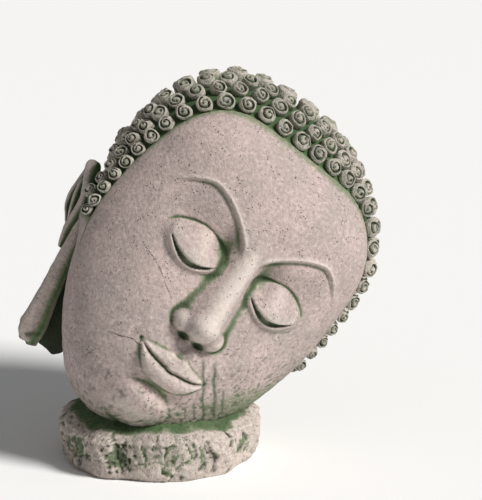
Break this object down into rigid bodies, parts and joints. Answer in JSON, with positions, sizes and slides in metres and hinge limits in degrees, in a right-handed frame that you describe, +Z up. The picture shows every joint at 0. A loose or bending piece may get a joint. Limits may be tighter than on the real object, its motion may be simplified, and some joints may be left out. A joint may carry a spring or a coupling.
{
  "type": "stone buddha head",
  "caption": "Garden statue of a Buddha head with closed eyes, snail curls and long ears, leaning on its cheek on a rough oval base.",
  "frame": {"origin": "centre of the base's flat underside", "axes": "+Z up, the face looks towards -Y, the crown leans towards +X"},
  "size_m": [0.3699, 0.3021, 0.3855],
  "materials": {
    "cast_stone": "weathered pinkish grey cast stone, fine pits, green algae and moss in the grooves"
  },
  "bodies": {
    "root": {"buddha_head": "cast_stone"}
  },
  "joints": []
}
